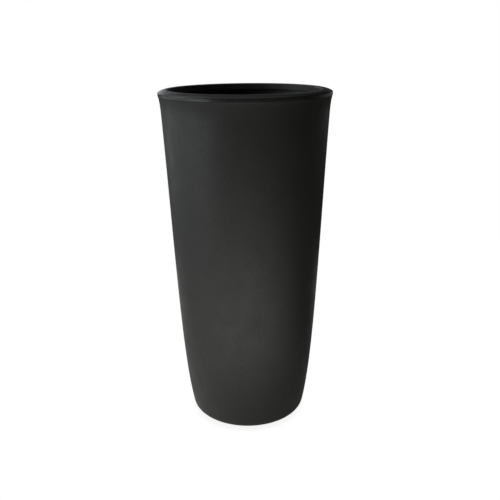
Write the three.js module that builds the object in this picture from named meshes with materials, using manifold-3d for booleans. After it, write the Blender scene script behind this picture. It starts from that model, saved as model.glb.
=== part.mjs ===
// A tall, round, tapered fiberglass planter: a thin laminated wall with a rolled rim, a floor pan bonded
// onto the wall's foot flange, a drain with its plug and screen, and four rubber foot pads.
//
// Millimetres, +Z up. The origin is on the axis of the planter, in the plane that the pads stand on.
// Almost every piece is turned from a closed section, written as points of (radius, height).

import * as THREE from 'three';
import { mergeGeometries, mergeVertices } from 'three/addons/utils/BufferGeometryUtils.js';
import Module from 'manifold-3d';

const wasm = await Module();
wasm.setup();

// ---------------------------------------------------------------- driving dimensions, mm and degrees

// Whole planter
const HEIGHT = 711;              // standing plane to the crest of the rim
const WALL = 4.5;                // laminate of the side wall and its foot flange
const SEAT_GAP = 0.3;            // gap where one piece rests on another
const BOND_GAP = 0.3;            // bond line between laminated pieces

// Rolled rim
const RIM_RADIUS = 174.3;        // outer face of the lip
const LIP_WIDTH = 21.5;          // outer face of the lip in to the clear opening
const MOUTH_ROUND = 3;           // radius between the inner face and the crest
const CROWN_LEAN = 30;           // fall of the crowned top where it meets the shoulder
const SHOULDER_ROUND = 2.5;      // radius between the crown and the outer face
const LIP_HEIGHT = 12.3;         // crest to the lower edge of the lip
const RETURN_DEPTH = 13;         // crest to the lower edge of the inner face
const RIM_WALL = 4;              // laminate of the rim
const RIM_ROOF = 5;              // laminate under the crest
const SKIRT_DEPTH = 24;          // bonded skirt below the lip's lower edge
const EDGE_ROUND = 1;            // eased lower edge of the lip

// Side wall, from the top down
const CREASE = 0.5;              // step from the lip's face in to the top of the wall
const FLARE_LEAN = 19;           // lean of the wall just under the lip
const NECK_DEPTH = 50;           // crest to the neck, where the flare ends
const NECK_INSET = 5.2;          // lip's outer face in to the neck
const NECK_LEAN = 3.1;
const FOOT_LEAN = 12;            // lean of the wall where the foot's round ends
const FOOT_ROUND = 15.6;
const FOOT_FLAT_RADIUS = 110.4;  // outer edge of the flat foot flange
const FLANGE_WIDTH = 23.4;       // flat part of the foot flange
const UPPER_PULL = 0.38;         // how far the neck's and the foot's leans hold, as shares of the side
const LOWER_PULL = 0.18;

// Floor pan and drain
const PAN_WALL = 4.5;
const PAN_EDGE_HEIGHT = 34;      // turned-up edge of the pan above the standing plane
const PAN_BEVEL = 3;             // the edge thins out over this height
const PAN_FALL = 1.5;            // fall from the flat ring of the pan to the drain's land
const DRAIN_RADIUS = 12.5;
const BOSS_WALL = 13.5;          // laminate round the drain
const BOSS_DEPTH = 7;            // thickness of the boss, through which the drain runs

// Drain plug
const PLUG_FIT = 0.25;           // clearance of the ribs in the drain
const PLUG_RIBS = 2;
const PLUG_RIB_DEPTH = 1.1;      // how far a rib stands out from the stem
const PLUG_RIB_BASE = 0.6;       // height of a rib's steep lower side
const PLUG_RIB_TAPER = 1.8;      // height of its sloping upper side
const PLUG_COLLAR = 0.5;         // bare stem between the head and the first rib
const PLUG_TIP_GAP = 0.6;        // the stem ends this far below the land
const PLUG_HEAD_LAP = 6.5;       // how far the head reaches past the drain's edge
const PLUG_HEAD_THICKNESS = 2.8;
const PLUG_HEAD_ROUND = 1.2;
const PLUG_DIMPLE_RADIUS = 9;    // fingertip dimple in the underside of the head
const PLUG_DIMPLE_FLOOR_RADIUS = 5.5;
const PLUG_DIMPLE_DEPTH = 1;

// Drain screen
const SCREEN_RADIUS = 30;
const SCREEN_MARGIN = 4;         // flat land left round the screen
const SCREEN_THICKNESS = 1.5;
const SCREEN_BORDER = 3;         // solid band at the edge
const SCREEN_PITCH = 5;
const SCREEN_STRAND = 2;         // width of the bars between the square holes

// Foot pads
const PAD_COUNT = 4;
const PAD_HEIGHT = 5;
const PAD_RADIUS = 9;
const PAD_ROUND = 1.2;           // eased lower edge
const PAD_FIRST_ANGLE = 45;

// Facets
const TURNED_FACETS = 64;        // round the large pieces
const SMALL_FACETS = 32;         // round the plug, the pads and the screen
const FOOT_STEPS = 4;
const SIDE_STEPS = 8;
const FLARE_STEPS = 4;
const CROWN_STEPS = 4;
const CORNER_STEPS = 3;

// ---------------------------------------------------------------- radii and levels that follow from them

const MOUTH_RADIUS = RIM_RADIUS - LIP_WIDTH;
const NECK_RADIUS = RIM_RADIUS - NECK_INSET;
const FLANGE_BORE_RADIUS = FOOT_FLAT_RADIUS - FLANGE_WIDTH;
const BOSS_RADIUS = DRAIN_RADIUS + BOSS_WALL;
const LAND_RADIUS = SCREEN_RADIUS + SCREEN_MARGIN;
const PLUG_HEAD_RADIUS = DRAIN_RADIUS + PLUG_HEAD_LAP;

const FOOT_Z = PAD_HEIGHT + SEAT_GAP;
const LIP_Z = HEIGHT - LIP_HEIGHT;
const WALL_TOP_Z = LIP_Z - SEAT_GAP;
const PAN_UNDER_Z = FOOT_Z + WALL + BOND_GAP;
const PAN_FLOOR_Z = PAN_UNDER_Z + PAN_WALL;
const LAND_Z = PAN_FLOOR_Z - PAN_FALL;
const BOSS_Z = LAND_Z - BOSS_DEPTH;

// ---------------------------------------------------------------- sections

const at = (radius, height) => new THREE.Vector2(radius, height);
const direction = (angle) => at(Math.cos(angle), Math.sin(angle));
const radians = THREE.MathUtils.degToRad;

// Points on an arc, from one angle to another in degrees.
function roundArc(centre, radius, fromAngle, toAngle, steps) {
  return Array.from({ length: steps + 1 }, (_, i) => {
    const angle = radians(THREE.MathUtils.lerp(fromAngle, toAngle, i / steps));
    return centre.clone().addScaledVector(direction(angle), radius);
  });
}

// The outer side of the wall, from the flat foot up to the lip. Each point has its outward normal.
function traceOuterSide() {
  const footCentre = at(FOOT_FLAT_RADIUS, FOOT_Z + FOOT_ROUND);
  const footUp = direction(radians(90 - FOOT_LEAN));
  const neckUp = direction(radians(90 - NECK_LEAN));
  const flareUp = direction(radians(90 - FLARE_LEAN));

  const footEnd = footCentre.clone().addScaledVector(at(footUp.y, -footUp.x), FOOT_ROUND);
  const neck = at(NECK_RADIUS, HEIGHT - NECK_DEPTH);
  const sideHeight = neck.y - footEnd.y;
  const side = new THREE.CubicBezierCurve(
    footEnd,
    footEnd.clone().addScaledVector(footUp, LOWER_PULL * sideHeight),
    neck.clone().addScaledVector(neckUp, -UPPER_PULL * sideHeight),
    neck,
  );

  // The flare's two end tangents cross at its middle control point.
  const top = at(RIM_RADIUS - CREASE, WALL_TOP_Z);
  const drop = neckUp.cross(top.clone().sub(neck)) / neckUp.cross(flareUp);
  const flare = new THREE.QuadraticBezierCurve(neck, top.clone().addScaledVector(flareUp, -drop), top);

  const line = [];
  for (let i = 0; i < FOOT_STEPS; i += 1) {
    const normal = direction(radians(THREE.MathUtils.lerp(-90, -FOOT_LEAN, i / FOOT_STEPS)));
    line.push({ point: footCentre.clone().addScaledVector(normal, FOOT_ROUND), normal });
  }
  const addCurve = (curve, steps, last) => {
    for (let i = 0; i <= last; i += 1) {
      const tangent = curve.getTangent(i / steps);
      line.push({ point: curve.getPoint(i / steps), normal: at(tangent.y, -tangent.x) });
    }
  };
  addCurve(side, SIDE_STEPS, SIDE_STEPS - 1);
  addCurve(flare, FLARE_STEPS, FLARE_STEPS);
  return line;
}

const OUTER_SIDE = traceOuterSide();

// The line that runs at a depth inside the outer side.
const sideAtDepth = (depth) =>
  OUTER_SIDE.map(({ point, normal }) => point.clone().addScaledVector(normal, -depth));

// The part of a rising line that is below a height, and the part above it, each ending on that height.
function pointAtHeight(line, height) {
  const next = line.findIndex((point) => point.y >= height);
  const [low, high] = [line[next - 1], line[next]];
  return low.clone().lerp(high, (height - low.y) / (high.y - low.y));
}

const below = (line, height) => [...line.filter((point) => point.y < height), pointAtHeight(line, height)];
const above = (line, height) => [pointAtHeight(line, height), ...line.filter((point) => point.y > height)];

// ---------------------------------------------------------------- building blocks

function material(color, roughness, metalness = 0) {
  return new THREE.MeshStandardMaterial({ color, roughness, metalness });
}

const MATERIALS = {
  laminate: material(0x2b2c2c, 0.62),
  rubber: material(0x161616, 0.85),
  mesh: material(0x3a3d3c, 0.7),
};

function piece(name, geometry, finish) {
  const mesh = new THREE.Mesh(geometry, finish.clone());
  mesh.name = name;
  return mesh;
}

// Turns a section about the vertical axis. It runs up on the outside and down on the inside.
function turned(section, facets) {
  return new THREE.LatheGeometry(section, facets).rotateX(Math.PI / 2);
}

const closed = (section) => [...section, section[0].clone()];

// A closed geometry as a solid that can be cut, and back.
function solidFrom(geometry) {
  const bare = geometry.clone();
  bare.deleteAttribute('normal');
  bare.deleteAttribute('uv');
  const merged = mergeVertices(bare);
  return new wasm.Manifold(new wasm.Mesh({
    numProp: 3,
    vertProperties: merged.getAttribute('position').array,
    triVerts: new Uint32Array(merged.index.array),
  }));
}

function geometryFrom(solid) {
  const { vertProperties, triVerts } = solid.getMesh();
  const geometry = new THREE.BufferGeometry();
  geometry.setAttribute('position', new THREE.BufferAttribute(vertProperties, 3));
  geometry.setIndex(new THREE.BufferAttribute(triVerts, 1));
  geometry.computeVertexNormals();
  return geometry;
}

// ---------------------------------------------------------------- pieces

// The side wall: its outer side, its top edge, its inner side and the foot flange.
function shellWall() {
  const outer = OUTER_SIDE.map(({ point }) => point);
  const inner = below(sideAtDepth(WALL), WALL_TOP_Z);
  const section = [
    at(FLANGE_BORE_RADIUS, FOOT_Z),
    ...outer,
    ...inner.reverse(),
    at(FLANGE_BORE_RADIUS, FOOT_Z + WALL),
  ];
  return piece('shell_wall', turned(closed(section), TURNED_FACETS), MATERIALS.laminate);
}

// The rim: a crowned lip over the wall's top edge, a short inner return, and a skirt inside the wall.
function rolledRim() {
  const crestRadius = MOUTH_RADIUS + MOUTH_ROUND;
  const skirtOuter = above(below(sideAtDepth(WALL + BOND_GAP), LIP_Z), LIP_Z - SKIRT_DEPTH);
  const crownStart = 90 - CROWN_LEAN;
  const shoulderRadius = RIM_RADIUS - SHOULDER_ROUND;
  const crownWidth = shoulderRadius + SHOULDER_ROUND * Math.cos(radians(crownStart)) - crestRadius;
  const crownRound = crownWidth / Math.cos(radians(crownStart));
  const shoulderZ = HEIGHT - crownRound + (crownRound - SHOULDER_ROUND) * Math.sin(radians(crownStart));
  const roofZ = HEIGHT - RIM_ROOF;
  const skirtInner = above(
    below(sideAtDepth(WALL + BOND_GAP + RIM_WALL), LIP_Z), LIP_Z - SKIRT_DEPTH,
  );
  const returnOuter = MOUTH_RADIUS + RIM_WALL;
  const section = [
    ...skirtOuter,
    ...roundArc(at(RIM_RADIUS - EDGE_ROUND, LIP_Z + EDGE_ROUND), EDGE_ROUND, -90, 0, CORNER_STEPS),
    ...roundArc(at(shoulderRadius, shoulderZ), SHOULDER_ROUND, 0, crownStart, CORNER_STEPS),
    ...roundArc(at(crestRadius, HEIGHT - crownRound), crownRound, crownStart, 90, CROWN_STEPS).slice(1),
    ...roundArc(at(crestRadius, HEIGHT - MOUTH_ROUND), MOUTH_ROUND, 90, 180, CORNER_STEPS).slice(1),
    at(MOUTH_RADIUS, HEIGHT - RETURN_DEPTH),
    at(returnOuter, HEIGHT - RETURN_DEPTH),
    at(returnOuter, roofZ),
    at(skirtInner.at(-1).x, roofZ),
    ...skirtInner.reverse(),
  ];
  return piece('rolled_rim', turned(closed(section), TURNED_FACETS), MATERIALS.laminate);
}

// The floor: a shallow pan whose edge turns up along the wall, with a drain boss in the middle.
function floorPan() {
  const outer = below(sideAtDepth(WALL + BOND_GAP), PAN_EDGE_HEIGHT - PAN_BEVEL);
  const rimPoint = pointAtHeight(sideAtDepth(WALL + BOND_GAP), PAN_EDGE_HEIGHT);
  const inner = below(sideAtDepth(WALL + BOND_GAP + PAN_WALL), PAN_EDGE_HEIGHT - PAN_BEVEL);
  const section = [
    at(DRAIN_RADIUS, BOSS_Z),
    at(BOSS_RADIUS, BOSS_Z),
    at(BOSS_RADIUS, LAND_Z - PAN_WALL),
    at(LAND_RADIUS, LAND_Z - PAN_WALL),
    at(FLANGE_BORE_RADIUS, PAN_UNDER_Z),
    ...outer,
    rimPoint,
    ...inner.reverse(),
    at(FLANGE_BORE_RADIUS, PAN_FLOOR_Z),
    at(LAND_RADIUS, LAND_Z),
    at(DRAIN_RADIUS, LAND_Z),
  ];
  return piece('floor_pan', turned(closed(section), TURNED_FACETS), MATERIALS.laminate);
}

// The plug: a round head under the boss and a ribbed stem up the drain.
function drainPlug() {
  const headTop = BOSS_Z - SEAT_GAP;
  const headBottom = headTop - PLUG_HEAD_THICKNESS;
  const ribRadius = DRAIN_RADIUS - PLUG_FIT;
  const stemRadius = ribRadius - PLUG_RIB_DEPTH;
  const tip = LAND_Z - PLUG_TIP_GAP;
  const firstRib = headTop + PLUG_COLLAR;
  const ribs = Array.from({ length: PLUG_RIBS }, (_, i) => {
    const foot = firstRib + (i * (tip - firstRib)) / PLUG_RIBS;
    return [
      at(stemRadius, foot),
      at(ribRadius, foot + PLUG_RIB_BASE),
      at(stemRadius, foot + PLUG_RIB_BASE + PLUG_RIB_TAPER),
    ];
  }).flat();
  const section = [
    at(0, headBottom + PLUG_DIMPLE_DEPTH),
    at(PLUG_DIMPLE_FLOOR_RADIUS, headBottom + PLUG_DIMPLE_DEPTH),
    at(PLUG_DIMPLE_RADIUS, headBottom),
    ...roundArc(
      at(PLUG_HEAD_RADIUS - PLUG_HEAD_ROUND, headBottom + PLUG_HEAD_ROUND), PLUG_HEAD_ROUND, -90, 0,
      CORNER_STEPS,
    ),
    at(PLUG_HEAD_RADIUS, headTop),
    at(stemRadius, headTop),
    ...ribs,
    at(stemRadius, tip),
    at(0, tip),
  ];
  return piece('drain_plug', turned(section, SMALL_FACETS), MATERIALS.rubber);
}

// A flat net: a disc with a square grid of holes inside its border.
function drainScreen() {
  const disc = new THREE.CylinderGeometry(SCREEN_RADIUS, SCREEN_RADIUS, SCREEN_THICKNESS, SMALL_FACETS);
  disc.rotateX(Math.PI / 2);
  const hole = SCREEN_PITCH - SCREEN_STRAND;
  const meshRadius = SCREEN_RADIUS - SCREEN_BORDER;
  const reach = Math.floor(meshRadius / SCREEN_PITCH);
  const cutters = [];
  for (let column = -reach; column <= reach; column += 1) {
    for (let row = -reach; row <= reach; row += 1) {
      const [x, y] = [column * SCREEN_PITCH, row * SCREEN_PITCH];
      if (Math.hypot(Math.abs(x) + hole / 2, Math.abs(y) + hole / 2) < meshRadius) {
        cutters.push(new THREE.BoxGeometry(hole, hole, 2 * SCREEN_THICKNESS).translate(x, y, 0));
      }
    }
  }
  const net = solidFrom(disc).subtract(solidFrom(mergeGeometries(cutters)));
  const screen = piece('drain_screen', geometryFrom(net), MATERIALS.mesh);
  screen.position.z = LAND_Z + SEAT_GAP + SCREEN_THICKNESS / 2;
  return screen;
}

// Pads in the middle of the foot flange, evenly spaced round it.
function footPads() {
  const section = [
    at(0, 0),
    ...roundArc(at(PAD_RADIUS - PAD_ROUND, PAD_ROUND), PAD_ROUND, -90, 0, CORNER_STEPS),
    at(PAD_RADIUS, PAD_HEIGHT),
    at(0, PAD_HEIGHT),
  ];
  const ringRadius = (FLANGE_BORE_RADIUS + FOOT_FLAT_RADIUS) / 2;
  return Array.from({ length: PAD_COUNT }, (_, i) => {
    const angle = radians(PAD_FIRST_ANGLE + (i * 360) / PAD_COUNT);
    const pad = piece(`foot_pad_${i + 1}`, turned(section, SMALL_FACETS), MATERIALS.rubber);
    pad.position.set(ringRadius * Math.cos(angle), ringRadius * Math.sin(angle), 0);
    return pad;
  });
}

// ---------------------------------------------------------------- assembly

const planter = new THREE.Group();
planter.add(shellWall(), rolledRim(), floorPan(), drainPlug(), drainScreen(), ...footPads());

export default planter;
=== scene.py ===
import math

import bpy
from mathutils import Matrix, Vector, noise


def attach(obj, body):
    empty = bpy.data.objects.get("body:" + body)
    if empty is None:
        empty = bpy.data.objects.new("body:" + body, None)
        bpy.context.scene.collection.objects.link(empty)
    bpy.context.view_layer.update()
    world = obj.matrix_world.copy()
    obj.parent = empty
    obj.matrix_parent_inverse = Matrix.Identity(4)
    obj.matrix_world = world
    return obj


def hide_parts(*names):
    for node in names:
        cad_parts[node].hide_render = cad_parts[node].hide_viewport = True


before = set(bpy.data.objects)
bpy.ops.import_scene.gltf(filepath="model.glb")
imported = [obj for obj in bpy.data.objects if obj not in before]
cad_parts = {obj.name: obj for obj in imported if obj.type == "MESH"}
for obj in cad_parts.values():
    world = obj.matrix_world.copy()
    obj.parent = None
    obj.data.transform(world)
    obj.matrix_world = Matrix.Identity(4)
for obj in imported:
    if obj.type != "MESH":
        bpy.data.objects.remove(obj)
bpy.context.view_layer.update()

# A tall, round, tapered fiberglass planter. Sections are written in millimetres as (radius, height)
# points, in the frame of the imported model, and the meshes are made in metres.
MM = 0.001

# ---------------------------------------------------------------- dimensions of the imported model, mm

HEIGHT = 711.0
WALL = 4.5
SEAT_GAP = 0.3
BOND_GAP = 0.3

RIM_RADIUS = 174.3
LIP_WIDTH = 21.5
MOUTH_ROUND = 3.0
CROWN_LEAN = 30.0
SHOULDER_ROUND = 2.5
LIP_HEIGHT = 12.3
RETURN_DEPTH = 13.0
RIM_WALL = 4.0
RIM_ROOF = 5.0
SKIRT_DEPTH = 24.0
EDGE_ROUND = 1.0

CREASE = 0.5
FLARE_LEAN = 19.0
NECK_DEPTH = 50.0
NECK_INSET = 5.2
NECK_LEAN = 3.1
FOOT_LEAN = 12.0
FOOT_ROUND = 15.6
FOOT_FLAT_RADIUS = 110.4
FLANGE_WIDTH = 23.4
UPPER_PULL = 0.38
LOWER_PULL = 0.18

PAN_WALL = 4.5
PAN_EDGE_HEIGHT = 34.0
PAN_BEVEL = 3.0
PAN_FALL = 1.5
DRAIN_RADIUS = 12.5
BOSS_WALL = 13.5
BOSS_DEPTH = 7.0

PLUG_FIT = 0.25
PLUG_RIBS = 2
PLUG_RIB_DEPTH = 1.1
PLUG_RIB_BASE = 0.6
PLUG_RIB_TAPER = 1.8
PLUG_COLLAR = 0.5
PLUG_TIP_GAP = 0.6
PLUG_HEAD_LAP = 6.5
PLUG_HEAD_THICKNESS = 2.8
PLUG_HEAD_ROUND = 1.2
PLUG_DIMPLE_RADIUS = 9.0
PLUG_DIMPLE_FLOOR_RADIUS = 5.5
PLUG_DIMPLE_DEPTH = 1.0

SCREEN_RADIUS = 30.0
SCREEN_MARGIN = 4.0
SCREEN_THICKNESS = 1.5
SCREEN_BORDER = 3.0
SCREEN_PITCH = 5.0
SCREEN_STRAND = 2.0

PAD_COUNT = 4
PAD_HEIGHT = 5.0
PAD_RADIUS = 9.0
PAD_ROUND = 1.2
PAD_FIRST_ANGLE = 45.0

MOUTH_RADIUS = RIM_RADIUS - LIP_WIDTH
NECK_RADIUS = RIM_RADIUS - NECK_INSET
FLANGE_BORE_RADIUS = FOOT_FLAT_RADIUS - FLANGE_WIDTH
BOSS_RADIUS = DRAIN_RADIUS + BOSS_WALL
LAND_RADIUS = SCREEN_RADIUS + SCREEN_MARGIN
PLUG_HEAD_RADIUS = DRAIN_RADIUS + PLUG_HEAD_LAP

FOOT_Z = PAD_HEIGHT + SEAT_GAP
LIP_Z = HEIGHT - LIP_HEIGHT
RETURN_Z = HEIGHT - RETURN_DEPTH
WALL_TOP_Z = LIP_Z - SEAT_GAP
PAN_UNDER_Z = FOOT_Z + WALL + BOND_GAP
PAN_FLOOR_Z = PAN_UNDER_Z + PAN_WALL
LAND_Z = PAN_FLOOR_Z - PAN_FALL
BOSS_Z = LAND_Z - BOSS_DEPTH

# ---------------------------------------------------------------- finer forms, mm

# Unevenness of the wall's raw side, which fades out before the pan's edge and the rim's skirt
LUMP_SIZE = 0.22
LUMP_PITCH = 34.0
SMALL_LUMP_PITCH = 12.0
SMALL_LUMP_SHARE = 0.6
SMALL_LUMP_SHIFT = Vector((7.1, 0.0, 0.0))
LUMP_FADE = 20.0
LUMP_ABOVE_PAN = 6.0
LUMP_BELOW_SKIRT = 4.0

LOOKUP_LIFT = 0.1                # the outer side is looked up at least this far above the foot

BOSS_ROUND = 0.8

PLUG_SMALL_ROUND = 0.4           # upper edges of the head and the tip
PLUG_FILLET = 0.3                # where the stem meets the head
PLUG_RIB_ROUND = 0.3
PLUG_RIB_TURN = 60.0             # a rib's rounded edge turns this far up and down, degrees
PLUG_RIB_START = 0.02            # a rib's lower side starts this far above its foot

SCREEN_EDGE_ROUND = 0.3
SCREEN_EDGE_ANGLE = 40.0         # edges that turn more than this are rounded, degrees
CUTTER_REACH = 1.0               # how far the hole cutters stand out of the screen

PAD_EDGE_ROUND = 0.3             # upper edge

# Moulded rings in a pad's underside, from the middle out
PAD_GROOVE_DEPTH = 0.6
PAD_GROOVE_SLOPE = 0.4
PAD_HOLLOW_RADIUS = 2.0
PAD_RING_WIDTH = 1.0
PAD_GROOVE_WIDTH = 0.8

# ---------------------------------------------------------------- how finely the meshes are divided

TURNS = 256
SMALL_TURNS = 96
FOOT_STEPS = 14
SIDE_STEPS = 150
FLARE_STEPS = 20
CROWN_STEPS = 16
ROUND_STEPS = 8
LIP_EDGE_STEPS = 6
RIB_STEPS = 5
SMALL_ROUND_STEPS = 4
DIMPLE_STEPS = 8
SCREEN_EDGE_STEPS = 2

# The longest stretch of a section between two points, mm
WALL_STEP = 4.0
PAN_STEP = 3.0
RIM_STEP = 2.0
RETURN_STEP = 1.5

SHARP_ANGLE = 28.0               # edges that turn more than this look sharp, degrees
NEAR_AXIS = 1e-6                 # a point this near to the axis lies on it

# ---------------------------------------------------------------- camera, in metres and degrees

CAMERA_PLACE = (0.0, -1.2971, 0.8020)
CAMERA_LENS = 45.42              # focal length, mm
CAMERA_PITCH = 18.41
CAMERA_YAW = -0.297
CAMERA_ROLL = -0.52


def link(name, data):
    """A new object in the scene."""
    thing = bpy.data.objects.new(name, data)
    bpy.context.collection.objects.link(thing)
    return thing


camera_data = bpy.data.cameras.new("camera")
camera_data.lens = CAMERA_LENS
camera = link("camera", camera_data)
camera.matrix_world = (
    Matrix.Translation(CAMERA_PLACE)
    @ Matrix.Rotation(math.radians(CAMERA_YAW), 4, "Z")
    @ Matrix.Rotation(math.radians(90 - CAMERA_PITCH), 4, "X")
    @ Matrix.Rotation(math.radians(CAMERA_ROLL), 4, "Z")
)
bpy.context.scene.camera = camera
bpy.context.scene.view_settings.view_transform = "Standard"

# ---------------------------------------------------------------- sections


def arc(centre, radius, start, end, steps):
    """Points on an arc, from one angle to another in degrees."""
    points = []
    for i in range(steps + 1):
        angle = math.radians(start + (end - start) * i / steps)
        points.append(Vector(centre) + radius * Vector((math.cos(angle), math.sin(angle))))
    return points


def lean_direction(lean):
    """The direction up a surface that leans out from the vertical by an angle in degrees."""
    return Vector((math.sin(math.radians(lean)), math.cos(math.radians(lean))))


def cross(a, b):
    return a.x * b.y - a.y * b.x


def bezier(points, t):
    """The point at t, from 0 to 1, on the Bezier curve of some control points."""
    while len(points) > 1:
        points = [a.lerp(b, t) for a, b in zip(points, points[1:])]
    return points[0]


def bezier_normal(points, t):
    small = 1e-4
    tangent = bezier(points, min(1.0, t + small)) - bezier(points, max(0.0, t - small))
    return Vector((tangent.y, -tangent.x)).normalized()


def trace_outer_side():
    """The wall's outer side from the flat foot up to the lip: pairs of point and outward normal."""
    foot_centre = Vector((FOOT_FLAT_RADIUS, FOOT_Z + FOOT_ROUND))
    foot_up = lean_direction(FOOT_LEAN)
    neck_up = lean_direction(NECK_LEAN)
    flare_up = lean_direction(FLARE_LEAN)
    foot_end = foot_centre + FOOT_ROUND * Vector((foot_up.y, -foot_up.x))
    neck = Vector((NECK_RADIUS, HEIGHT - NECK_DEPTH))
    side_height = neck.y - foot_end.y
    side = [
        foot_end,
        foot_end + LOWER_PULL * side_height * foot_up,
        neck - UPPER_PULL * side_height * neck_up,
        neck,
    ]
    # The flare's two end tangents cross at its middle control point.
    top = Vector((RIM_RADIUS - CREASE, WALL_TOP_Z))
    drop = cross(neck_up, top - neck) / cross(neck_up, flare_up)
    flare = [neck, top - drop * flare_up, top]

    line = []
    for i in range(FOOT_STEPS):
        angle = math.radians(-90 + (90 - FOOT_LEAN) * i / FOOT_STEPS)
        normal = Vector((math.cos(angle), math.sin(angle)))
        line.append((foot_centre + FOOT_ROUND * normal, normal))
    for curve, steps, last in ((side, SIDE_STEPS, SIDE_STEPS - 1), (flare, FLARE_STEPS, FLARE_STEPS)):
        for i in range(last + 1):
            line.append((bezier(curve, i / steps), bezier_normal(curve, i / steps)))
    return line


OUTER_SIDE = trace_outer_side()


def side_at_depth(depth):
    """The line that runs at a depth inside the wall's outer side."""
    return [point - depth * normal for point, normal in OUTER_SIDE]


def point_at_height(line, height):
    index = next(i for i, point in enumerate(line) if point.y >= height)
    low, high = line[index - 1], line[index]
    return low.lerp(high, (height - low.y) / (high.y - low.y))


def below(line, height):
    return [point for point in line if point.y < height] + [point_at_height(line, height)]


def above(line, height):
    return [point_at_height(line, height)] + [point for point in line if point.y > height]


def line_points(start, end, step):
    """Points from start up to but not including end, at most a step apart."""
    start, end = Vector(start), Vector(end)
    count = max(1, math.ceil((end - start).length / step))
    return [start.lerp(end, i / count) for i in range(count)]


# ---------------------------------------------------------------- meshes


def turned(name, runs, turns, materials, rough=None):
    """A closed body of revolution.

    runs is a list of (points, material index): each run's points are joined to each other and to the
    next run's first point by faces of that material. A section that starts and ends on the axis is
    capped there. rough(point, angle) gives how far a point is moved along the section's normal.
    """
    section = [(point, index) for points, index in runs for point in points]
    count = len(section)
    capped = section[0][0].x < NEAR_AXIS
    vertices, rings = [], []
    for i, (point, _) in enumerate(section):
        if point.x < NEAR_AXIS:
            rings.append([len(vertices)] * turns)
            vertices.append((0.0, 0.0, point.y * MM))
            continue
        before, after = section[i - 1][0], section[(i + 1) % count][0]
        tangent = after - before
        normal = Vector((tangent.y, -tangent.x)).normalized()
        rings.append(range(len(vertices), len(vertices) + turns))
        for k in range(turns):
            angle = 2 * math.pi * k / turns
            place = point if rough is None else point + rough(point, angle) * normal
            radius = place.x * MM
            vertices.append((radius * math.cos(angle), radius * math.sin(angle), place.y * MM))
    faces, indices = [], []
    for i in range(count - 1 if capped else count):
        low, high = rings[i], rings[(i + 1) % count]
        for k in range(turns):
            n = (k + 1) % turns
            corners = [low[k], low[n], high[n], high[k]]
            faces.append([v for j, v in enumerate(corners) if v != corners[j - 1]])
            indices.append(section[i][1])
    mesh = bpy.data.meshes.new(name)
    mesh.from_pydata(vertices, [], faces)
    for material in materials:
        mesh.materials.append(material)
    mesh.polygons.foreach_set("material_index", indices)
    mesh.polygons.foreach_set("use_smooth", [True] * len(faces))
    mesh.set_sharp_from_angle(angle=math.radians(SHARP_ANGLE))
    mesh.validate()
    return link(name, mesh)


# ---------------------------------------------------------------- materials


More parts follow.
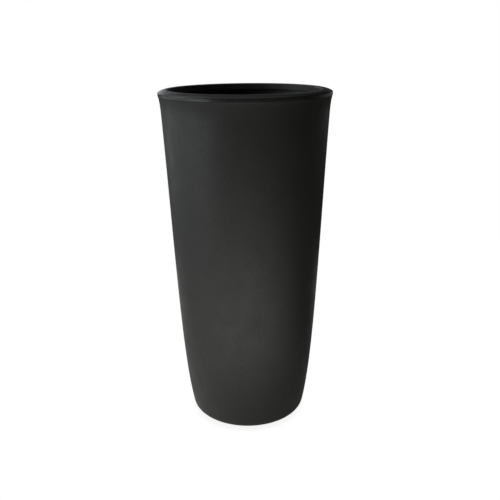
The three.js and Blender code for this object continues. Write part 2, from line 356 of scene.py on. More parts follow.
class Graph:
    """A material's nodes, built by short calls that return output sockets."""

    def __init__(self, name):
        self.material = bpy.data.materials.new(name)
        self.material.use_nodes = True
        self.tree = self.material.node_tree
        self.tree.nodes.clear()
        self.place = self.node("ShaderNodeTexCoord").outputs["Object"]

    def fill(self, socket, value):
        """Links an output socket to an input, or sets the input to a value."""
        if isinstance(value, bpy.types.NodeSocket):
            self.tree.links.new(value, socket)
        else:
            socket.default_value = value

    def node(self, kind, inputs=None, **settings):
        node = self.tree.nodes.new(kind)
        for key, value in settings.items():
            setattr(node, key, value)
        for key, value in (inputs or {}).items():
            self.fill(node.inputs[key], value)
        return node

    def noise(self, scale, detail=2.0, roughness=0.5, distortion=0.0):
        """Noise with about so many features to the metre."""
        return self.node("ShaderNodeTexNoise", {
            "Vector": self.place, "Scale": scale, "Detail": detail,
            "Roughness": roughness, "Distortion": distortion,
        }).outputs["Fac"]

    def math(self, operation, *values):
        node = self.node("ShaderNodeMath", operation=operation)
        for socket, value in zip(node.inputs, values):
            self.fill(socket, value)
        return node.outputs[0]

    def times(self, *values):
        product = values[0]
        for value in values[1:]:
            product = self.math("MULTIPLY", product, value)
        return product

    def plus(self, *values):
        total = values[0]
        for value in values[1:]:
            total = self.math("ADD", total, value)
        return total

    def spread(self, value, low, high, to_low=0.0, to_high=1.0, smooth=True):
        """Maps low..high of a value onto another range, with soft ends where it is smooth."""
        return self.node("ShaderNodeMapRange", {
            "Value": value, "From Min": low, "From Max": high, "To Min": to_low, "To Max": to_high,
        }, interpolation_type="SMOOTHSTEP" if smooth else "LINEAR").outputs["Result"]

    def fade_in(self, value, span):
        """Rises from 0 to 1 over a span in millimetres."""
        low, high = span
        return self.spread(value, low * MM, high * MM)

    def fade_out(self, value, span, full=1.0):
        """Falls from full to 0 over a span in millimetres."""
        low, high = span
        return self.spread(value, low * MM, high * MM, full, 0.0)

    def mix(self, factor, first, second):
        """A colour between two, each a colour socket or (red, green, blue)."""
        node = self.node("ShaderNodeMix", data_type="RGBA")
        self.fill(node.inputs[0], factor)
        for socket, colour in zip((node.inputs[6], node.inputs[7]), (first, second)):
            self.fill(socket, (*colour, 1.0) if isinstance(colour, tuple) else colour)
        return node.outputs[2]

    def bump(self, height, distance, below=None):
        inputs = {"Height": height, "Distance": distance, "Strength": 1.0}
        if below is not None:
            inputs["Normal"] = below
        return self.node("ShaderNodeBump", inputs).outputs["Normal"]

    def axes(self):
        parts = self.node("ShaderNodeSeparateXYZ", {"Vector": self.place})
        return parts.outputs["X"], parts.outputs["Y"], parts.outputs["Z"]

    def distance_from_axis(self, x, y):
        return self.math("SQRT", self.plus(self.times(x, x), self.times(y, y)))

    def wrapped_round(self, x, y, z, radius):
        """A flat place on the unrolled side of the planter, in metres."""
        return self.node("ShaderNodeCombineXYZ", {
            "X": self.times(self.math("ARCTAN2", x, y), radius), "Y": z,
        }).outputs["Vector"]

    def facing_up(self, normal="Normal"):
        return self.node("ShaderNodeSeparateXYZ", {
            "Vector": self.node("ShaderNodeNewGeometry").outputs[normal],
        }).outputs["Z"]

    def surface(self, shader):
        output = self.node("ShaderNodeOutputMaterial")
        self.tree.links.new(shader, output.inputs["Surface"])
        return self.material

    def finish(self, colour, roughness, normal, specular=0.5):
        return self.surface(self.node("ShaderNodeBsdfPrincipled", {
            "Base Color": colour, "Roughness": roughness, "Normal": normal,
            "Specular IOR Level": specular,
        }).outputs[0])


STRAND_SHIFT = (0.37, 0.61)      # each direction reads its noise this much further on, in metres


def strands(g, vector, angles, width, length, low, high):
    """Straight, crossing glass strands: one stretched noise for each direction, the highest one showing.
    A strand starts to show where its noise is at low, and shows fully where it is at high."""
    top = None
    for i, angle in enumerate(angles):
        turned_place = g.node("ShaderNodeMapping", {
            "Vector": vector, "Location": (STRAND_SHIFT[0] * i, STRAND_SHIFT[1] * i, 0.0),
            "Rotation": (0.0, 0.0, math.radians(angle)), "Scale": (length, width, 1.0),
        }, vector_type="TEXTURE").outputs["Vector"]
        streak = g.node("ShaderNodeTexNoise", {
            "Vector": turned_place, "Scale": 1.0, "Detail": 1.0, "Roughness": 0.4,
        }, noise_dimensions="2D").outputs["Fac"]
        streak = g.spread(streak, low, high)
        top = streak if top is None else g.math("MAXIMUM", top, streak)
    return top


def gelcoat():
    """Satin charcoal gelcoat on the outside of the wall and the rim."""
    charcoal = (0.0300, 0.0302, 0.0298)
    clouded = (0.0345, 0.0345, 0.0338)
    mottled = (0.0415, 0.0410, 0.0400)
    speckled = (0.075, 0.074, 0.072)
    dusty = (0.085, 0.082, 0.076)
    chipped = (0.095, 0.094, 0.090)
    # a paler tone for scuffs in the mouth, which also paints light onto the inner return face
    scuffed = (0.072, 0.0715, 0.069)
    # painted shade: a darker tone for the band under the lip, where shade falls
    painted_shade = (0.012, 0.012, 0.0118)
    rubbed = (0.085, 0.085, 0.083)
    # Where the wear, the scuffs with their painted light, and the painted shade under the lip lie: heights
    # and distances from the axis, mm
    lip_edge = LIP_Z + 0.4
    lip_edge_reach = (0.2, 1.0)
    outermost = (RIM_RADIUS - 1.5, RIM_RADIUS - 0.4)
    foot_wear = (9.0, 26.0)
    return_face = (RETURN_Z - 6.0, RETURN_Z - 1.0)
    mouth_face = (MOUTH_RADIUS + 0.4, MOUTH_RADIUS + 2.4)
    shade_start = (LIP_Z - 34.0, LIP_Z - 6.0)
    shade_end = (LIP_Z - 0.6, LIP_Z - 0.2)
    lip_start = (LIP_Z - 0.2, LIP_Z + 1.0)

    g = Graph("charcoal_gelcoat")
    x, y, z = g.axes()
    radius = g.distance_from_axis(x, y)
    cloud = g.noise(7.0, detail=3.0)
    mottle = g.noise(240.0, detail=4.0, roughness=0.6)
    speck = g.noise(900.0, roughness=0.6)
    colour = g.mix(g.spread(cloud, 0.35, 0.65), charcoal, clouded)
    colour = g.mix(g.spread(mottle, 0.35, 0.68), colour, mottled)
    colour = g.mix(g.times(g.spread(speck, 0.60, 0.74), 0.35), colour, speckled)

    # Dust on what faces up.
    dust = g.times(g.spread(g.facing_up(), 0.55, 1.0),
                   g.spread(g.noise(60.0, detail=5.0, roughness=0.65), 0.42, 0.72))
    colour = g.mix(g.times(dust, 0.22), colour, dusty)

    # Worn edges: the lip's lower edge, and the foot.
    from_edge = g.math("ABSOLUTE", g.math("SUBTRACT", z, lip_edge * MM))
    lip = g.times(g.math("SUBTRACT", 1.0, g.fade_in(from_edge, lip_edge_reach)),
                  g.fade_in(radius, outermost))
    chips = g.spread(g.noise(130.0, detail=5.0, roughness=0.7), 0.46, 0.62)
    worn = g.times(g.math("MAXIMUM", lip, g.times(g.fade_out(z, foot_wear), 0.6)), chips)
    colour = g.mix(g.times(worn, 0.5), colour, chipped)

    # Scuffs inside the mouth, made paler so that they also paint light onto the inner return face; painted
    # shade under the lip; and a lip that hands have rubbed smoother.
    # Scuffs and painted light: the inner return face is made paler, partly as wear and partly to stand in
    # for light falling on it.
    mouth = g.times(g.fade_in(z, return_face), g.fade_out(radius, mouth_face))
    scuffs_and_painted_light = g.spread(g.noise(55.0, detail=4.0, roughness=0.65), 0.3, 0.7, 0.35, 0.75)
    colour = g.mix(g.times(mouth, scuffs_and_painted_light), colour, scuffed)
    # Painted shade under the lip: the band from the flare up to the lip's lower edge is darkened where shade
    # falls.
    shade_under_lip = g.times(g.fade_in(z, shade_start), g.fade_out(z, shade_end))
    colour = g.mix(g.times(shade_under_lip, 0.35), colour, painted_shade)
    handled = g.times(g.fade_in(z, lip_start),
                      g.spread(g.noise(30.0), 0.3, 0.7, 0.8, 1.0),
                      g.math("SUBTRACT", 1.0, mouth))

    # Faint rub marks.
    side = g.wrapped_round(x, y, z, NECK_RADIUS * MM)
    rubs = strands(g, side, (82.0, 40.0, -35.0), width=1.1 * MM, length=45.0 * MM, low=0.70, high=0.78)
    rubs = g.times(rubs, g.spread(g.noise(9.0), 0.48, 0.62))
    colour = g.mix(g.times(rubs, 0.25), colour, rubbed)

    roughness = g.plus(
        g.spread(g.noise(35.0, detail=4.0, roughness=0.6), 0.3, 0.7, 0.43, 0.53),
        g.times(g.math("MAXIMUM", dust, worn), 0.18),
        g.times(mottle, 0.06),
        g.times(shade_under_lip, 0.14),
    )
    roughness = g.math("SUBTRACT", roughness, g.times(handled, 0.20))
    skin = g.math("SUBTRACT", 1.0, g.times(handled, 0.85))
    normal = g.bump(g.times(g.noise(14.0), skin), 0.9 * MM)
    normal = g.bump(g.times(g.noise(300.0, detail=3.0, roughness=0.55), skin), 0.16 * MM, normal)
    normal = g.bump(g.times(g.noise(1100.0, detail=3.0, roughness=0.6), skin), 0.05 * MM, normal)
    return g.finish(colour, roughness, normal)


def laminate():
    """The raw side of the laminate: chopped glass strands in dark resin, with some soil low down."""
    dark_resin = (0.027, 0.0277, 0.0277)
    paler_resin = (0.038, 0.0385, 0.038)
    rich_resin = (0.020, 0.020, 0.0203)
    glassy = (0.078, 0.078, 0.074)
    soiled = (0.075, 0.062, 0.047)
    soil_line = (20.0, 260.0)        # heights between which the soil thins out, mm
    flat = 0.75                      # what faces up or down by more than this counts as level

    g = Graph("strand_laminate")
    x, y, z = g.axes()
    # The strands lie in the surface: flat on what is level, and wrapped round on what is upright.
    level = g.math("GREATER_THAN", g.math("ABSOLUTE", g.facing_up("True Normal")), flat)
    upright = g.wrapped_round(x, y, z, MOUTH_RADIUS * MM)
    either = g.node("ShaderNodeMix", data_type="VECTOR")
    for place, value in ((0, level), (4, upright), (5, g.place)):
        g.fill(either.inputs[place], value)
    lay = either.outputs[1]
    bundles = strands(g, lay, (12.0, 67.0, 118.0, 161.0, 39.0),
                      width=2.1 * MM, length=40.0 * MM, low=0.54, high=0.66)
    fibres = strands(g, lay, (-8.0, 52.0, 95.0, 141.0),
                     width=0.7 * MM, length=22.0 * MM, low=0.56, high=0.70)
    glass = g.times(g.math("MAXIMUM", bundles, g.times(fibres, 0.7)),
                    g.spread(g.noise(22.0), 0.3, 0.7, 0.35, 1.0))
    lumps = g.noise(60.0, detail=3.0)
    colour = g.mix(g.spread(lumps, 0.35, 0.65), dark_resin, paler_resin)
    colour = g.mix(g.times(glass, 0.55), colour, glassy)
    resin = g.spread(g.noise(26.0, detail=3.0), 0.52, 0.66)
    colour = g.mix(g.times(resin, 0.5), colour, rich_resin)
    soil = g.times(g.fade_out(z, soil_line), g.spread(g.noise(40.0, detail=5.0, roughness=0.65), 0.45, 0.68))
    grit = g.spread(g.noise(520.0, detail=3.0, roughness=0.7), 0.62, 0.78)
    colour = g.mix(g.times(soil, 0.5, grit), colour, soiled)
    roughness = g.spread(g.plus(g.times(lumps, 0.6), g.times(glass, 0.4)), 0.2, 0.7, 0.30, 0.55)
    roughness = g.math("SUBTRACT", roughness, g.times(resin, 0.10))
    roughness = g.plus(roughness, g.times(soil, 0.25))
    normal = g.bump(g.noise(38.0, detail=3.0), 1.6 * MM)
    normal = g.bump(glass, 0.35 * MM, normal)
    normal = g.bump(g.noise(700.0, roughness=0.6), 0.06 * MM, normal)
    return g.finish(colour, roughness, normal)


def cut_edge():
    """A trimmed laminate edge: thin plies of glass in dark resin."""
    dark_resin = (0.022, 0.022, 0.021)
    glassy = (0.12, 0.118, 0.105)
    ply = 0.9 * MM
    waviness = 0.9 * MM

    g = Graph("trimmed_edge")
    z = g.axes()[2]
    wave = g.times(g.noise(55.0), waviness)
    plies = g.math("SINE", g.times(g.plus(z, wave), 2 * math.pi / ply))
    plies = g.times(g.spread(plies, -0.4, 0.9),
                    g.spread(g.noise(420.0, detail=4.0, roughness=0.7), 0.35, 0.62))
    colour = g.mix(plies, dark_resin, glassy)
    roughness = g.spread(g.noise(300.0, detail=3.0), 0.3, 0.7, 0.6, 0.85)
    normal = g.bump(plies, 0.15 * MM)
    normal = g.bump(g.noise(900.0, detail=3.0, roughness=0.65), 0.12 * MM, normal)
    return g.finish(colour, roughness, normal)


def rubber():
    """Black rubber with a grey bloom and dust."""
    black = (0.014, 0.014, 0.0145)
    bloomed = (0.034, 0.033, 0.032)
    dusty = (0.10, 0.092, 0.08)

    g = Graph("moulded_rubber")
    bloom = g.spread(g.noise(180.0, detail=5.0, roughness=0.65), 0.40, 0.72)
    colour = g.mix(g.times(bloom, 0.7), black, bloomed)
    dust = g.spread(g.noise(900.0, detail=4.0, roughness=0.7), 0.60, 0.76)
    colour = g.mix(g.times(dust, 0.4), colour, dusty)
    roughness = g.spread(bloom, 0.0, 1.0, 0.62, 0.82)
    normal = g.bump(g.noise(1600.0, detail=3.0, roughness=0.6), 0.05 * MM)
    normal = g.bump(g.noise(240.0), 0.12 * MM, normal)
    return g.finish(colour, roughness, normal, specular=0.4)


def net_plastic():
    """Dark grey moulded plastic with flow marks and scuffs."""
    grey = (0.034, 0.036, 0.035)
    streaked = (0.056, 0.058, 0.056)
    scuffed = (0.13, 0.13, 0.125)

    g = Graph("net_plastic")
    flow = g.noise(90.0, detail=4.0, roughness=0.6, distortion=0.6)
    colour = g.mix(g.spread(flow, 0.35, 0.68), grey, streaked)
    scuff = g.spread(g.noise(700.0, detail=4.0, roughness=0.7), 0.58, 0.74)
    colour = g.mix(g.times(scuff, 0.35), colour, scuffed)
    roughness = g.spread(g.noise(420.0, detail=3.0), 0.3, 0.7, 0.42, 0.62)
    normal = g.bump(g.noise(1300.0, detail=3.0, roughness=0.6), 0.05 * MM)
    return g.finish(colour, roughness, normal)


SHELL_MATERIALS = (gelcoat(), laminate(), cut_edge())
SMOOTH, RAW, TRIMMED = range(3)  # their numbers
RUBBER = rubber()
NET = net_plastic()

# ---------------------------------------------------------------- pieces


def hand_laid(low, high):
    """A function for how far the laminate's raw side is uneven, which fades out at two heights."""
    def offset(point, angle):
        inside = min(point.y - low, high - point.y) / LUMP_FADE
        if inside <= 0.0:
            return 0.0
        place = Vector((math.cos(angle) * point.x, math.sin(angle) * point.x, point.y))
        lumps = noise.noise(place / LUMP_PITCH)
        lumps += SMALL_LUMP_SHARE * noise.noise(place / SMALL_LUMP_PITCH + SMALL_LUMP_SHIFT)
        return LUMP_SIZE * min(1.0, inside) * lumps
    return offset


def wall():
    """The side wall with its foot flange."""
    outer = side_at_depth(0.0)
    inner = below(side_at_depth(WALL), WALL_TOP_Z)
    raw = hand_laid(PAN_EDGE_HEIGHT + LUMP_ABOVE_PAN, LIP_Z - SKIRT_DEPTH - LUMP_BELOW_SKIRT)

    def offset(point, angle):
        depth = point_at_height(outer, max(point.y, FOOT_Z + LOOKUP_LIFT)).x - point.x
        return raw(point, angle) if depth > WALL / 2 else 0.0

    runs = [
        (line_points((FLANGE_BORE_RADIUS, FOOT_Z), outer[0], WALL_STEP), SMOOTH),
        (outer[:-1], SMOOTH),
        ([outer[-1]], TRIMMED),
        (list(reversed(inner)), RAW),
        (line_points(inner[0], (FLANGE_BORE_RADIUS, FOOT_Z + WALL), WALL_STEP)[1:], RAW),
        ([Vector((FLANGE_BORE_RADIUS, FOOT_Z + WALL))], TRIMMED),
    ]
    return turned("wall", runs, TURNS, SHELL_MATERIALS, offset)


def rim():
    """The rim: a crowned lip, a short inner return, and a skirt inside the wall."""
    crest = MOUTH_RADIUS + MOUTH_ROUND
    skirt_outer = above(below(side_at_depth(WALL + BOND_GAP), LIP_Z), LIP_Z - SKIRT_DEPTH)
    skirt_inner = above(below(side_at_depth(WALL + BOND_GAP + RIM_WALL), LIP_Z), LIP_Z - SKIRT_DEPTH)
    crown_start = 90.0 - CROWN_LEAN
    rise = math.sin(math.radians(crown_start))
    run = math.cos(math.radians(crown_start))
    shoulder = RIM_RADIUS - SHOULDER_ROUND
    crown_round = (shoulder + SHOULDER_ROUND * run - crest) / run
    shoulder_z = HEIGHT - crown_round + (crown_round - SHOULDER_ROUND) * rise
    lip_edge = (RIM_RADIUS - EDGE_ROUND, LIP_Z)
    return_top = (MOUTH_RADIUS, HEIGHT - MOUTH_ROUND)
    return_foot = (MOUTH_RADIUS, RETURN_Z)
    return_back = (MOUTH_RADIUS + RIM_WALL, RETURN_Z)
    roof_inner = (MOUTH_RADIUS + RIM_WALL, HEIGHT - RIM_ROOF)
    roof_outer = (skirt_inner[-1].x, HEIGHT - RIM_ROOF)
    runs = [
        (skirt_outer[:-1], RAW),
        (line_points(skirt_outer[-1], lip_edge, RIM_STEP), SMOOTH),
        (arc((RIM_RADIUS - EDGE_ROUND, LIP_Z + EDGE_ROUND), EDGE_ROUND, -90, 0, LIP_EDGE_STEPS), SMOOTH),
        (arc((shoulder, shoulder_z), SHOULDER_ROUND, 0, crown_start, ROUND_STEPS), SMOOTH),
        (arc((crest, HEIGHT - crown_round), crown_round, crown_start, 90, CROWN_STEPS)[1:], SMOOTH),
        (arc((crest, HEIGHT - MOUTH_ROUND), MOUTH_ROUND, 90, 180, ROUND_STEPS)[1:], SMOOTH),
        (line_points(return_top, return_foot, RETURN_STEP)[1:], SMOOTH),
        (line_points(return_foot, return_back, RETURN_STEP), TRIMMED),
        (line_points(return_back, roof_inner, RIM_STEP), RAW),
        (line_points(roof_inner, roof_outer, RIM_STEP), RAW),
        (line_points(roof_outer, skirt_inner[-1], RIM_STEP), RAW),
        (list(reversed(skirt_inner))[:-1], RAW),
        (line_points(skirt_inner[0], skirt_outer[0], RETURN_STEP), TRIMMED),
    ]
    return turned("rim", runs, TURNS, SHELL_MATERIALS)


def floor_pan():
    """The floor pan with its turned-up edge and its drain boss."""
    side = side_at_depth(WALL + BOND_GAP)
    outer = below(side, PAN_EDGE_HEIGHT - PAN_BEVEL)
    edge = point_at_height(side, PAN_EDGE_HEIGHT)
    inner = below(side_at_depth(WALL + BOND_GAP + PAN_WALL), PAN_EDGE_HEIGHT - PAN_BEVEL)
    drain_foot = (DRAIN_RADIUS, BOSS_Z)
    drain_top = Vector((DRAIN_RADIUS, LAND_Z))
    boss_edge = (BOSS_RADIUS - BOSS_ROUND, BOSS_Z)
    boss_top = (BOSS_RADIUS, LAND_Z - PAN_WALL)
    land_under = (LAND_RADIUS, LAND_Z - PAN_WALL)
    land_top = (LAND_RADIUS, LAND_Z)
    ring_under = (FLANGE_BORE_RADIUS, PAN_UNDER_Z)
    ring_top = (FLANGE_BORE_RADIUS, PAN_FLOOR_Z)
    runs = [
        (line_points(drain_foot, boss_edge, PAN_STEP), RAW),
        (arc((BOSS_RADIUS - BOSS_ROUND, BOSS_Z + BOSS_ROUND), BOSS_ROUND, -90, 0, SMALL_ROUND_STEPS), RAW),
        (line_points(boss_top, land_under, PAN_STEP), RAW),
        (line_points(land_under, ring_under, PAN_STEP), RAW),
        (line_points(ring_under, outer[0], PAN_STEP), RAW),
        (outer, RAW),
        ([edge], RAW),
        (list(reversed(inner)), RAW),
        (line_points(inner[0], ring_top, PAN_STEP)[1:], RAW),
        (line_points(ring_top, land_top, PAN_STEP), RAW),
        (line_points(land_top, drain_top, PAN_STEP), RAW),
        ([drain_top], TRIMMED),
    ]
    return turned("pan", runs, TURNS, SHELL_MATERIALS)


def plug():
    """The drain plug: a head with a dimple under it, and a ribbed stem."""
    head_top = BOSS_Z - SEAT_GAP
    head_bottom = head_top - PLUG_HEAD_THICKNESS
    rib_radius = DRAIN_RADIUS - PLUG_FIT
    stem = rib_radius - PLUG_RIB_DEPTH
    tip = LAND_Z - PLUG_TIP_GAP
    first_rib = head_top + PLUG_COLLAR
    points = [Vector((0, head_bottom + PLUG_DIMPLE_DEPTH)),
              Vector((PLUG_DIMPLE_FLOOR_RADIUS / 2, head_bottom + PLUG_DIMPLE_DEPTH))]
    slope = PLUG_DIMPLE_RADIUS - PLUG_DIMPLE_FLOOR_RADIUS
    for i in range(DIMPLE_STEPS + 1):
        t = i / DIMPLE_STEPS
        drop = PLUG_DIMPLE_DEPTH * (1 - t * t * (3 - 2 * t))
        points.append(Vector((PLUG_DIMPLE_FLOOR_RADIUS + slope * t, head_bottom + drop)))
    points += arc((PLUG_HEAD_RADIUS - PLUG_HEAD_ROUND, head_bottom + PLUG_HEAD_ROUND),
                  PLUG_HEAD_ROUND, -90, 0, ROUND_STEPS)
    points += arc((PLUG_HEAD_RADIUS - PLUG_SMALL_ROUND, head_top - PLUG_SMALL_ROUND),
                  PLUG_SMALL_ROUND, 0, 90, SMALL_ROUND_STEPS)
    points.append(Vector((stem + PLUG_FILLET, head_top)))
    points.append(Vector((stem, head_top + PLUG_FILLET)))
    for i in range(PLUG_RIBS):
        foot = first_rib + i * (tip - first_rib) / PLUG_RIBS
        points.append(Vector((stem, foot + PLUG_RIB_START)))
        points += arc((rib_radius - PLUG_RIB_ROUND, foot + PLUG_RIB_BASE),
                      PLUG_RIB_ROUND, -PLUG_RIB_TURN, PLUG_RIB_TURN, RIB_STEPS)
        points.append(Vector((stem, foot + PLUG_RIB_BASE + PLUG_RIB_TAPER)))
    points += arc((stem - PLUG_SMALL_ROUND, tip - PLUG_SMALL_ROUND),
                  PLUG_SMALL_ROUND, 0, 90, SMALL_ROUND_STEPS)
    points.append(Vector((0, tip)))
    return turned("plug", [(points, 0)], SMALL_TURNS, (RUBBER,))


def hole_cutters(bottom):
    """One mesh of upright boxes, a box for each hole of the screen."""
    half = (SCREEN_PITCH - SCREEN_STRAND) / 2
    mesh_radius = SCREEN_RADIUS - SCREEN_BORDER
    reach = int(mesh_radius // SCREEN_PITCH)
    corners = ((-1, -1), (1, -1), (1, 1), (-1, 1))
    quads = ((0, 3, 2, 1), (4, 5, 6, 7), (0, 1, 5, 4), (1, 2, 6, 5), (2, 3, 7, 6), (3, 0, 4, 7))
    vertices, faces = [], []
    for column in range(-reach, reach + 1):
        for row in range(-reach, reach + 1):
            x, y = column * SCREEN_PITCH, row * SCREEN_PITCH
            if math.hypot(abs(x) + half, abs(y) + half) < mesh_radius:
                start = len(vertices)
                for z in (bottom - CUTTER_REACH, bottom + SCREEN_THICKNESS + CUTTER_REACH):
                    vertices += [((x + dx * half) * MM, (y + dy * half) * MM, z * MM) for dx, dy in corners]
                faces += [[start + v for v in quad] for quad in quads]
    mesh = bpy.data.meshes.new("cutters")
    mesh.from_pydata(vertices, [], faces)
    return link("cutters", mesh)


def screen():
    """A moulded net: a disc with square holes, its edges rounded."""
    bottom = LAND_Z + SEAT_GAP
    top = bottom + SCREEN_THICKNESS
    outline = [Vector(point) for point in (
        (0, bottom), (SCREEN_RADIUS, bottom), (SCREEN_RADIUS, top), (0, top),
    )]
    disc = turned("screen", [(outline, 0)], SMALL_TURNS, (NET,))
    cutters = hole_cutters(bottom)
    cut = disc.modifiers.new("cut", "BOOLEAN")
    cut.operation = "DIFFERENCE"
    cut.object = cutters
    cut.solver = "EXACT"
    round_edges = disc.modifiers.new("round", "BEVEL")
    round_edges.width = SCREEN_EDGE_ROUND * MM
    round_edges.segments = SCREEN_EDGE_STEPS
    round_edges.limit_method = "ANGLE"
    round_edges.angle_limit = math.radians(SCREEN_EDGE_ANGLE)
    bpy.context.view_layer.update()
    shape = bpy.data.meshes.new_from_object(disc.evaluated_get(bpy.context.evaluated_depsgraph_get()))
    disc.modifiers.clear()
    shape.polygons.foreach_set("use_smooth", [False] * len(shape.polygons))
    disc.data = shape
    bpy.data.objects.remove(cutters)
    return disc


def pad(number):
    """A foot pad, with a hollow, a ring and a groove moulded into its underside."""
    angle = math.radians(PAD_FIRST_ANGLE + (number - 1) * 360 / PAD_COUNT)
    place_radius = (FLANGE_BORE_RADIUS + FOOT_FLAT_RADIUS) / 2
    ring = PAD_HOLLOW_RADIUS + PAD_GROOVE_SLOPE
    groove = ring + PAD_RING_WIDTH + PAD_GROOVE_SLOPE
    rest = groove + PAD_GROOVE_WIDTH + PAD_GROOVE_SLOPE
    points = [Vector(point) for point in (
        (0, PAD_GROOVE_DEPTH), (PAD_HOLLOW_RADIUS, PAD_GROOVE_DEPTH),
        (ring, 0), (ring + PAD_RING_WIDTH, 0),
        (groove, PAD_GROOVE_DEPTH), (groove + PAD_GROOVE_WIDTH, PAD_GROOVE_DEPTH),
        (rest, 0),
    )]
    points += arc((PAD_RADIUS - PAD_ROUND, PAD_ROUND), PAD_ROUND, -90, 0, ROUND_STEPS)
    points += arc((PAD_RADIUS - PAD_EDGE_ROUND, PAD_HEIGHT - PAD_EDGE_ROUND),
                  PAD_EDGE_ROUND, 0, 90, SMALL_ROUND_STEPS)
    points.append(Vector((0, PAD_HEIGHT)))
    piece = turned(f"pad_{number}", [(points, 0)], SMALL_TURNS, (RUBBER,))
    away = place_radius * MM * Vector((math.cos(angle), math.sin(angle), 0))
    piece.data.transform(Matrix.Translation(away))
    return piece


for piece, body, slot, node in (
    (wall(), "planter", "charcoal_shell", "shell_wall"),
    (rim(), "planter", "charcoal_shell", "rolled_rim"),
    (floor_pan(), "planter", "floor_laminate", "floor_pan"),
    (plug(), "plug", "plug_rubber", "drain_plug"),
    (screen(), "screen", "screen_plastic", "drain_screen"),
    *((pad(i), "planter", "pad_rubber", f"foot_pad_{i}") for i in range(1, PAD_COUNT + 1)),
):
    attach(piece, body)
    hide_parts(node)

# ---------------------------------------------------------------- stage: the floor, mm

FLOOR_RADIUS = 1700.0
FLOOR_SIDES = 96
FLOOR_DROP = 0.3                 # the floor lies this far under the pads
CONTACT_DISTANCE = 20.0

# Distances from the axis between which the floor changes
UNDER_FOOT = (85.0, 105.0)       # from the light under the foot to none
CONTACT_END = (160.0, 220.0)     # from contact shade to none
NEAR_TO_FAR = (340.0, 440.0)     # from the near light to the far light
FAR_END = (900.0, 1150.0)        # from the far light to none
SEE_THROUGH = (1200.0, FLOOR_RADIUS)

WHITE = (1.0, 1.0, 1.0)
FLOOR_WARMTH = (1.0, 0.99, 0.935)
SURROUND = 0.012                 # the dim, even light from all round

floor_mesh = bpy.data.meshes.new("floor")
floor_mesh.from_pydata(
    [(FLOOR_RADIUS * MM * math.cos(math.tau * i / FLOOR_SIDES),
      FLOOR_RADIUS * MM * math.sin(math.tau * i / FLOOR_SIDES), -FLOOR_DROP * MM)
     for i in range(FLOOR_SIDES)], [], [range(FLOOR_SIDES)])
floor = link("floor", floor_mesh)


def studio_floor():
    """Pale paint that reads white, and is open from below. It sends most light up in front of the
    planter, and some under it."""
    brighter = (1.03, 1.03, 1.03)
    shaded = (0.90, 0.90, 0.895)
    # How strongly it lights the planter, from its parts near the planter, further out and under it
    near_right = 0.14
    near_left = 0.46
    near_front = 0.04                # as much is taken off behind
    far_right = 0.0
    far_left = 0.36
    far_front = 1.50
    far_behind = 1.2
    under_foot = 1.4

    g = Graph("studio_floor")
    x, y, _ = g.axes()
    radius = g.distance_from_axis(x, y)
    left = g.math("DIVIDE", x, g.times(radius, -1.0))
    front = g.math("DIVIDE", y, g.times(radius, -1.0))
    ahead = g.math("POWER", g.math("MAXIMUM", front, 0.0), 2.0)
    behind = g.math("POWER", g.math("MAXIMUM", g.times(front, -1.0), 0.0), 4.0)

    # The light that it sends up.
    near = g.plus(g.spread(left, -1.0, 1.0, near_right, near_left, smooth=False), g.times(front, near_front))
    far = g.plus(g.spread(left, -1.0, 1.0, far_right, far_left, smooth=False),
                 g.times(ahead, far_front), g.times(behind, far_behind))
    outer = g.fade_in(radius, NEAR_TO_FAR)
    light = g.plus(g.times(near, g.math("SUBTRACT", 1.0, outer)), g.times(far, outer))
    light = g.plus(g.times(light, g.fade_out(radius, FAR_END)), SURROUND,
                   g.fade_out(radius, UNDER_FOOT, full=under_foot))
    bounce = g.node("ShaderNodeEmission", {"Color": (*FLOOR_WARMTH, 1.0), "Strength": light})

    # What the camera sees: paint, with a faint shade where the planter stands.
    reach = CONTACT_DISTANCE * MM
    contact = g.node("ShaderNodeAmbientOcclusion", {"Distance": reach}, samples=8).outputs["AO"]
    contact = g.math("MAXIMUM", contact, g.fade_in(radius, CONTACT_END))
    paint = g.mix(g.noise(3.0, detail=3.0), WHITE, brighter)
    paint = g.mix(g.spread(contact, 0.2, 0.95), shaded, paint)
    seen = g.node("ShaderNodeEmission", {"Color": paint, "Strength": 1.0})

    camera_ray = g.node("ShaderNodeLightPath").outputs["Is Camera Ray"]
    shader = g.node("ShaderNodeMixShader", {0: camera_ray, 1: bounce.outputs[0], 2: seen.outputs[0]})
    underneath = g.node("ShaderNodeNewGeometry").outputs["Backfacing"]
    return g.surface(g.node("ShaderNodeMixShader", {
        0: g.math("MAXIMUM", underneath, g.fade_in(radius, SEE_THROUGH)),
        1: shader.outputs[0],
        2: g.node("ShaderNodeBsdfTransparent").outputs[0],
    }).outputs[0])


floor_mesh.materials.append(studio_floor())

# ---------------------------------------------------------------- stage: the surroundings


def studio_world():
    """White all round for the camera, and a dim, even light for the rest."""
    world = bpy.data.worlds.new("studio")
    world.use_nodes = True
    tree = world.node_tree
    tree.nodes.clear()
    either = tree.nodes.new("ShaderNodeMixShader")
    tree.links.new(tree.nodes.new("ShaderNodeLightPath").outputs["Is Camera Ray"], either.inputs[0])
    for socket, colour in zip(either.inputs[1:], ((SURROUND, SURROUND, SURROUND), WHITE)):
        background = tree.nodes.new("ShaderNodeBackground")
        background.inputs["Color"].default_value = (*colour, 1.0)
        tree.links.new(background.outputs[0], socket)
    tree.links.new(either.outputs[0], tree.nodes.new("ShaderNodeOutputWorld").inputs["Surface"])
    return world


bpy.context.scene.world = studio_world()

# ---------------------------------------------------------------- stage: the lamps, in metres and watts

LAMP_DISTANCE = 2.0
MIDDLE = 0.35                    # heights that the lamps face
UPPER = 0.7

COOL = (0.94, 0.985, 1.0)
BLUE = (0.915, 0.965, 1.0)
WARM = (1.0, 0.98, 0.95)

STRIP = (1.05, 0.5)
BOX = (1.05, 0.8)
WIDE_BOX = (1.4, 1.0)
CEILING = (2.0, 2.0)


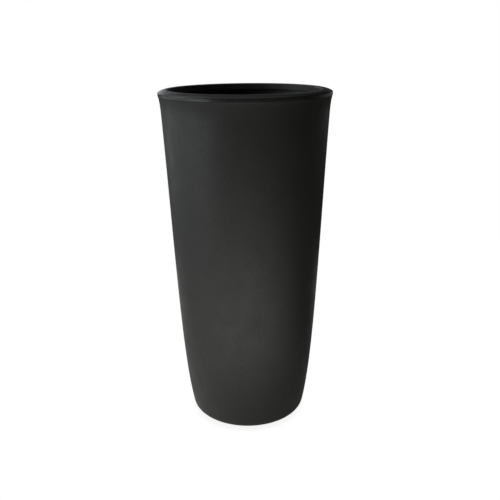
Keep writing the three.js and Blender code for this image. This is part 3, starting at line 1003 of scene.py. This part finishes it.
def area_light(name, azimuth, elevation, size, power, colour, target_height):
    """A soft box that faces the planter's axis. Azimuth 0 is the camera's side, 90 its left."""
    light = bpy.data.lights.new(name, "AREA")
    light.shape = "RECTANGLE"
    light.size, light.size_y = size
    light.energy = power
    light.color = colour
    lamp = link(name, light)
    a, e = math.radians(azimuth), math.radians(elevation)
    away = Vector((-math.sin(a) * math.cos(e), -math.cos(a) * math.cos(e), math.sin(e)))
    lamp.location = Vector((0.0, 0.0, target_height)) + LAMP_DISTANCE * away
    lamp.rotation_euler = away.to_track_quat("Z", "Y").to_euler()
    lamp.visible_camera = False


for lamp in (
    ("window_low", 60, -2, STRIP, 4.1, COOL, MIDDLE),
    ("window_high", 60, 20, STRIP, 1.1, COOL, MIDDLE),
    ("side_low", 90, -2, STRIP, 1.4, COOL, MIDDLE),
    ("side_high", 90, 20, STRIP, 6.1, BLUE, MIDDLE),
    ("back_left_low", 120, -2, STRIP, 1.75, BLUE, MIDDLE),
    ("back_left", 150, 20, STRIP, 2.6, BLUE, MIDDLE),
    ("back_right", -120, 8, BOX, 0.43, WARM, MIDDLE),
    ("back_fill", -150, 8, BOX, 0.6, WARM, MIDDLE),
    ("back_rim", 180, 20, BOX, 0.32, WARM, UPPER),
    ("ceiling_left", 120, 45, WIDE_BOX, 4.4, COOL, UPPER),
    ("ceiling", 0, 89.9, CEILING, 4.5, COOL, MIDDLE),
):
    area_light(*lamp)

# A narrow beam from above, which falls through the mouth onto the lower wall and the floor pan.
BEAM_HEIGHT = 1.2
BEAM_RADIUS = 0.115              # at the rim
BEAM_SOURCE_RADIUS = 0.01
BEAM_POWER = 45.0
BEAM_BLEND = 0.5

beam_data = bpy.data.lights.new("inside_beam", "SPOT")
beam_data.energy = BEAM_POWER
beam_data.color = COOL
beam_data.shadow_soft_size = BEAM_SOURCE_RADIUS
beam_data.spot_size = 2 * math.atan(BEAM_RADIUS / (BEAM_HEIGHT - HEIGHT * MM))
beam_data.spot_blend = BEAM_BLEND
beam = link("inside_beam", beam_data)
beam.location = (0.0, 0.0, BEAM_HEIGHT)
beam.visible_camera = False
